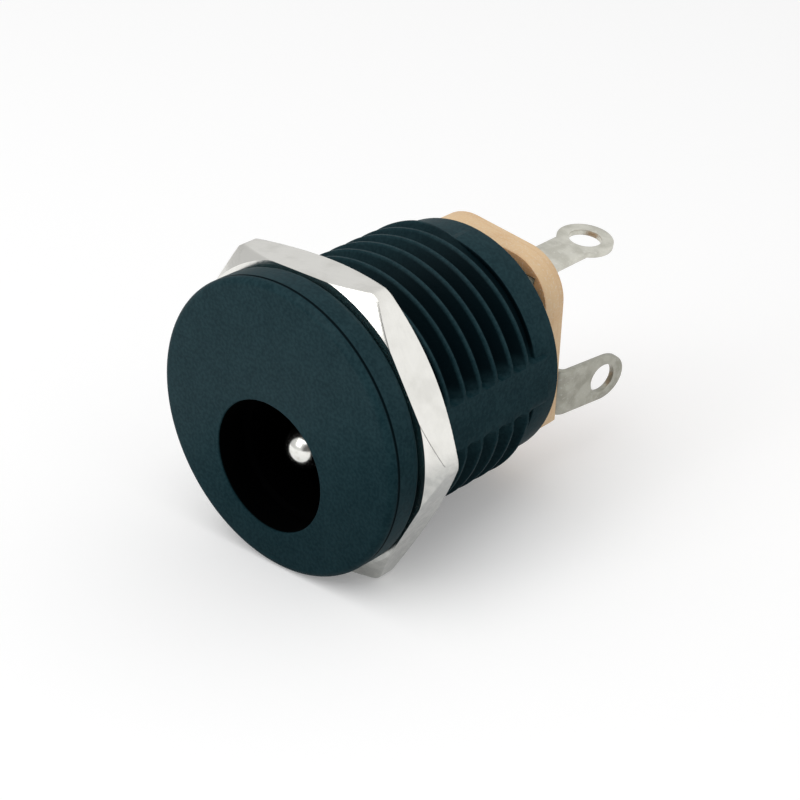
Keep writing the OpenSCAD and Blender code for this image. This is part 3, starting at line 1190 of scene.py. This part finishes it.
@dataclass
class TerminalBoard(Piece):
    """The punched board that closes the rear."""

    title = "punched_board"
    node = "terminal_board"
    finish = Finish.PHENOLIC
    radius: float = 5.6
    top: float = 5.05
    half: float = 4.27
    lean: float = math.radians(6)
    round: float = 2.3
    slot_centre: Point = (2.08, 4.11)
    slot_size: Point = (1.93, 0.42)
    edge: float = 0.05

    def outline(self) -> list[Point]:
        """The board's outline in its own frame.

        Returns:
            Its points.
        """
        high = self.top - self.round
        side = self.half - high * math.tan(self.lean) - self.round / math.cos(self.lean)
        corner = arc((side, high), self.round, math.degrees(self.lean), 90, 16)
        foot = self.meeting()
        rim = arc((0, 0), self.radius, -180 - foot, foot, 96)
        return [*corner, *((-x, z) for x, z in reversed(corner)), *rim]

    def meeting(self) -> float:
        """The angle in degrees at which the straight side runs into the round rim."""
        reach = self.half * math.cos(self.lean) / self.radius
        return math.degrees(self.lean - math.acos(reach))

    def shape(self) -> Workpiece:
        """Punches the board and stands it up behind the spigot.

        Returns:
            The board.
        """
        (cx, cz), (w, h) = self.slot_centre, self.slot_size
        slot = [(cx + i * w / 2, cz + j * h / 2) for i, j in ((-1, -1), (1, -1), (1, 1), (-1, 1))]
        plug = self.layout.plug_in_board
        tail = circle_points((plug.x, plug.z), self.layout.tail_hole_r)
        piece = Blank(self.outline(), [slot, tail], self.layout.board_t, self.edge).solid()
        stand = Matrix.Translation((0, self.layout.board_middle, 0)) @ Matrix.Rotation(math.pi / 2, 4, "X")
        piece.move(self.layout.board_frame @ stand)
        return piece.sharpen()


@dataclass
class PinLug(Piece):
    """The folded strip under the pin's riveted tail."""

    title = "riveted_lug"
    node = "pin_lug"
    # Painted shade: the pin lug takes the darker copy of the strip.
    finish = Finish.SHADED_STRIP
    width: float = 2.4
    back: float = 1.3
    reach: float = 4.62
    length: float = 4.25
    splay: float = math.radians(7.3)
    turn: float = math.radians(7)
    bend_r: float = 0.45
    eye_r: float = 0.75
    eye_in: float = 1.35

    def path(self) -> StripPath:
        """The strip's middle line, as (x, y), from behind the pin to the tip.

        Returns:
            The path.
        """
        rise = math.pi / 2 - self.splay
        base_y = self.layout.board_rear + self.layout.strip_t / 2
        centre = (self.reach - self.bend_r, base_y + self.bend_r)
        bend = arc(centre, self.bend_r, -90, math.degrees(rise) - 90, 8)
        run = (self.layout.board_rear + self.length - bend[-1][1]) / math.sin(rise)
        tip = (bend[-1][0] + run * math.cos(rise), bend[-1][1] + run * math.sin(rise))
        return StripPath([(-self.back, base_y), *bend, tip])

    def outline(self, length: float) -> list[Point]:
        """The flat blank's outline.

        Args:
            length: the length.

        Returns:
            Its points.
        """
        half = self.width / 2
        spread = math.degrees(math.asin(half / self.back))
        base = arc((0, self.back), self.back, -90 - spread, -90 + spread, 20)
        tip = [(x * half, length - self.eye_in + y * self.eye_in) for x, y in arc((0, 0), 1, 0, 180, 36)]
        return [*base, *tip]

    def shape(self) -> Workpiece:
        """Punches the strip, folds it and turns it about the plug's axis.

        Returns:
            The lug.
        """
        path = self.path()
        length = path.lengths()[-1]
        eye = circle_points((0, length - self.eye_in), self.eye_r)
        tail = circle_points((0, self.back), self.layout.tail_hole_r)
        piece = Blank(self.outline(length), [eye, tail], self.layout.strip_t).solid()
        path.fold(piece)
        swap = Matrix(((0, 1, 0, 0), (0, 0, 1, 0), (1, 0, 0, 0), (0, 0, 0, 1)))
        piece.move(Matrix.Rotation(self.turn, 4, "Y") @ swap)
        return piece.sharpen()


@dataclass
class SleeveContact(Piece):
    """The folded strip with a solder eye, a base plate and a spring leaf."""

    title = "folded_contact"
    node = "sleeve_contact"
    finish = Finish.LIT_STRIP
    bend_r: float = 0.45
    fold_r: float = 0.25
    leaf_w: float = 2.0
    touch: float = 0.9
    touch_y: float = 5.9
    tip_y: float = 4.3
    neck_w: float = 1.9
    ring_r: float = 1.37
    eye_r: float = 0.79
    side: float = 2.08
    height: float = 4.15
    length: float = 5.0
    trim_in: float = 0.05
    trim_out: float = 2.0
    trim_depth: float = 0.75

    @property
    def base_y(self) -> float:
        """The middle of the base plate along Y."""
        return self.layout.board_front - self.layout.strip_t / 2

    def leaf(self) -> list[Point]:
        """The leaf's middle line, as (y, z), from its tip to the foot of the base plate.

        Returns:
            Its points.
        """
        nose = [(self.tip_y, self.touch + 0.65), (self.touch_y - 0.5, self.touch + 0.1)]
        dip = [(self.touch_y, self.touch), (self.touch_y + 0.5, self.touch + 0.05)]
        centre = (self.base_y - self.bend_r, self.layout.leaf_height + self.bend_r)
        return [*nose, *dip, *arc(centre, self.bend_r, -90, 0, 6)]

    def path(self) -> StripPath:
        """The strip's middle line, as (y, z), from the leaf's tip to the eye's end."""
        upper = arc((self.base_y + self.fold_r, self.height - self.fold_r), self.fold_r, 180, 90, 5)
        return StripPath([*self.leaf(), *upper, (self.layout.board_rear + self.length, self.height)])

    def outline(self) -> list[Point]:
        """The flat blank's outline, unfolded along the path.

        Returns:
            Its points.
        """
        marks, foot = self.path().lengths(), len(self.leaf()) - 1
        base_low, base_high = marks[foot], marks[foot + 1]
        middle = self.layout.plug_in_board.x
        left, right = middle - self.leaf_w / 2, middle + self.leaf_w / 2
        neck_left, neck_right = self.side - self.neck_w / 2, self.side + self.neck_w / 2
        drop = math.degrees(math.acos(self.neck_w / 2 / self.ring_r))
        ring = arc((self.side, marks[-1] - self.ring_r), self.ring_r, -drop, 180 + drop, 36)
        outline = [(left, 0), (right, 0), (right, base_low), (neck_right, base_low)]
        return [*outline, *ring, (neck_left, base_high), (left, base_high)]

    def trim(self) -> Workpiece:
        """What is cut away in front of the board, where the base plate would pass the spigot.

        Returns:
            The cutter.
        """
        inner, outer = self.layout.spigot_r - self.trim_in, self.layout.spigot_r + self.trim_out
        front, rear = self.layout.board_front - self.trim_depth, self.layout.board_front
        profile = [(inner, front), (outer, front), (outer, rear), (inner, rear), (inner, front)]
        return Workpiece.turned(profile, self.layout.barrel)

    def shape(self) -> Workpiece:
        """Punches the strip, folds it, turns it with the board and trims its base plate.

        Returns:
            The contact.
        """
        path = self.path()
        eye = circle_points((self.side, path.lengths()[-1] - self.ring_r), self.eye_r)
        piece = Blank(self.outline(), [eye], self.layout.strip_t).solid()
        path.fold(piece)
        piece.move(self.layout.board_frame)
        return piece.joined(self.trim()).sharpen()


# ---- studio


def bearing(azimuth: float, elevation: float) -> Vector:
    """The direction of a bearing from the front and a height above the horizon, in degrees."""
    a, e = math.radians(azimuth), math.radians(elevation)
    return Vector((math.sin(a) * math.cos(e), -math.cos(a) * math.cos(e), math.sin(e)))


def grey(value: float) -> Colour:
    """A grey of a value."""
    return (value, value, value, 1.0)


def stand(data: bpy.types.Camera | bpy.types.Light, spot: Vector, away: Vector) -> bpy.types.Object:
    """Sets up a camera or a lamp.

    Args:
        data: the camera or lamp.
        spot: its place in millimetres.
        away: the direction to it from what it faces.

    Returns:
        The object.
    """
    obj = bpy.data.objects.new(data.name, data)
    bpy.context.scene.collection.objects.link(obj)
    obj.location = spot * MM
    obj.rotation_mode = "QUATERNION"
    obj.rotation_quaternion = (-away).to_track_quat("-Z", "Y")
    return obj


@dataclass(frozen=True)
class Lamp:
    """A soft square lamp that faces the jack."""

    name: str
    azimuth: float
    elevation: float
    size: float
    watts: float
    distance: float = 300.0

    def hang(self) -> None:
        """Hangs the lamp."""
        data = bpy.data.lights.new(self.name, "AREA")
        data.shape = "SQUARE"
        data.size = self.size * MM
        data.energy = self.watts
        away = bearing(self.azimuth, self.elevation)
        stand(data, away * self.distance, away)


@dataclass(frozen=True)
class Studio:
    """Floor, lamps, world and camera."""

    aim: Direction = (3.376, 4.924, 2.591)
    azimuth: float = 42.05
    elevation: float = 27.95
    distance: float = 99.82
    lens: float = 102.16
    floor_half: float = 400.0
    floor_white: float = 0.86
    floor_glow: float = 0.21
    fill: float = 0.72
    bright_side: Direction = (0.8, 0.3, 0.5)
    side_span: Point = (-0.9091, 0.9091)
    dim_side: float = 0.6
    dark_side: Direction = (0.72, -0.69, 0.12)
    dark_span: Point = (0.72, 0.93)
    dark_room: float = 0.12
    lamps: tuple[Lamp, ...] = (Lamp("key", 0, 66, 300, 0.38), Lamp("front", -12, 28, 130, 0.11))

    def camera(self) -> None:
        """Stands the camera at the viewing angle."""
        data = bpy.data.cameras.new("view")
        data.lens = self.lens
        data.sensor_width = 36.0
        data.clip_start = 0.001
        data.clip_end = 10.0
        away = bearing(self.azimuth, self.elevation)
        bpy.context.scene.camera = stand(data, Vector(self.aim) + away * self.distance, away)

    def floor(self, height: float) -> None:
        """Lays the pale floor.

        Args:
            height: its height in metres.
        """
        piece = Workpiece()
        bmesh.ops.create_grid(piece.bm, x_segments=1, y_segments=1, size=self.floor_half)
        obj = bpy.data.objects.new("floor", piece.mesh("floor", MM))
        bpy.context.scene.collection.objects.link(obj)
        obj.location.z = height
        g = Graph.material("pale_floor")
        paint = g.node("ShaderNodeBsdfDiffuse", None, {"Color": grey(self.floor_white)})
        glow = g.node("ShaderNodeEmission", None, {"Strength": self.floor_glow * g.background_rays()})
        g.close(g.node("ShaderNodeAddShader", None, {0: paint, 1: glow}))
        obj.data.materials.append(g.owner)
        obj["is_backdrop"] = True

    def world(self) -> None:
        """Fills the room with soft white light, greyer on the left and dark on the viewer's side."""
        g = Graph(bpy.data.worlds.new("room"))
        side = g.mix(g.towards(self.bright_side).ramp(*self.side_span), grey(self.dim_side), grey(1.0))
        side = g.mix(g.towards(self.dark_side).ramp(*self.dark_span), side, grey(self.dark_room))
        colour = g.mix(g.ray("Is Camera Ray"), side, grey(1.0))
        strength = self.fill + (1 - self.fill) * g.background_rays()
        light = g.node("ShaderNodeBackground", None, {"Color": colour, "Strength": strength})
        g.close(light, "ShaderNodeOutputWorld")
        bpy.context.scene.world = g.owner

    def build(self) -> None:
        """Builds the whole studio round the jack."""
        lowest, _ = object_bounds()
        self.camera()
        self.floor(lowest.z)
        self.world()
        for lamp in self.lamps:
            lamp.hang()
        bpy.context.scene.view_settings.view_transform = "Standard"


def main() -> None:
    """Builds the jack and its studio."""
    logging.basicConfig(level=logging.INFO, format="%(name)s: %(message)s")
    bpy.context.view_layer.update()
    layout = Layout.of_model()
    finishes = mix_finishes(layout)
    for kind in (Housing, HexNut, CentrePin, TerminalBoard, PinLug, SleeveContact):
        kind(layout).build(finishes)
    Studio().build()
    LOG.info("sizes written")


if __name__ == "__main__":
    main()
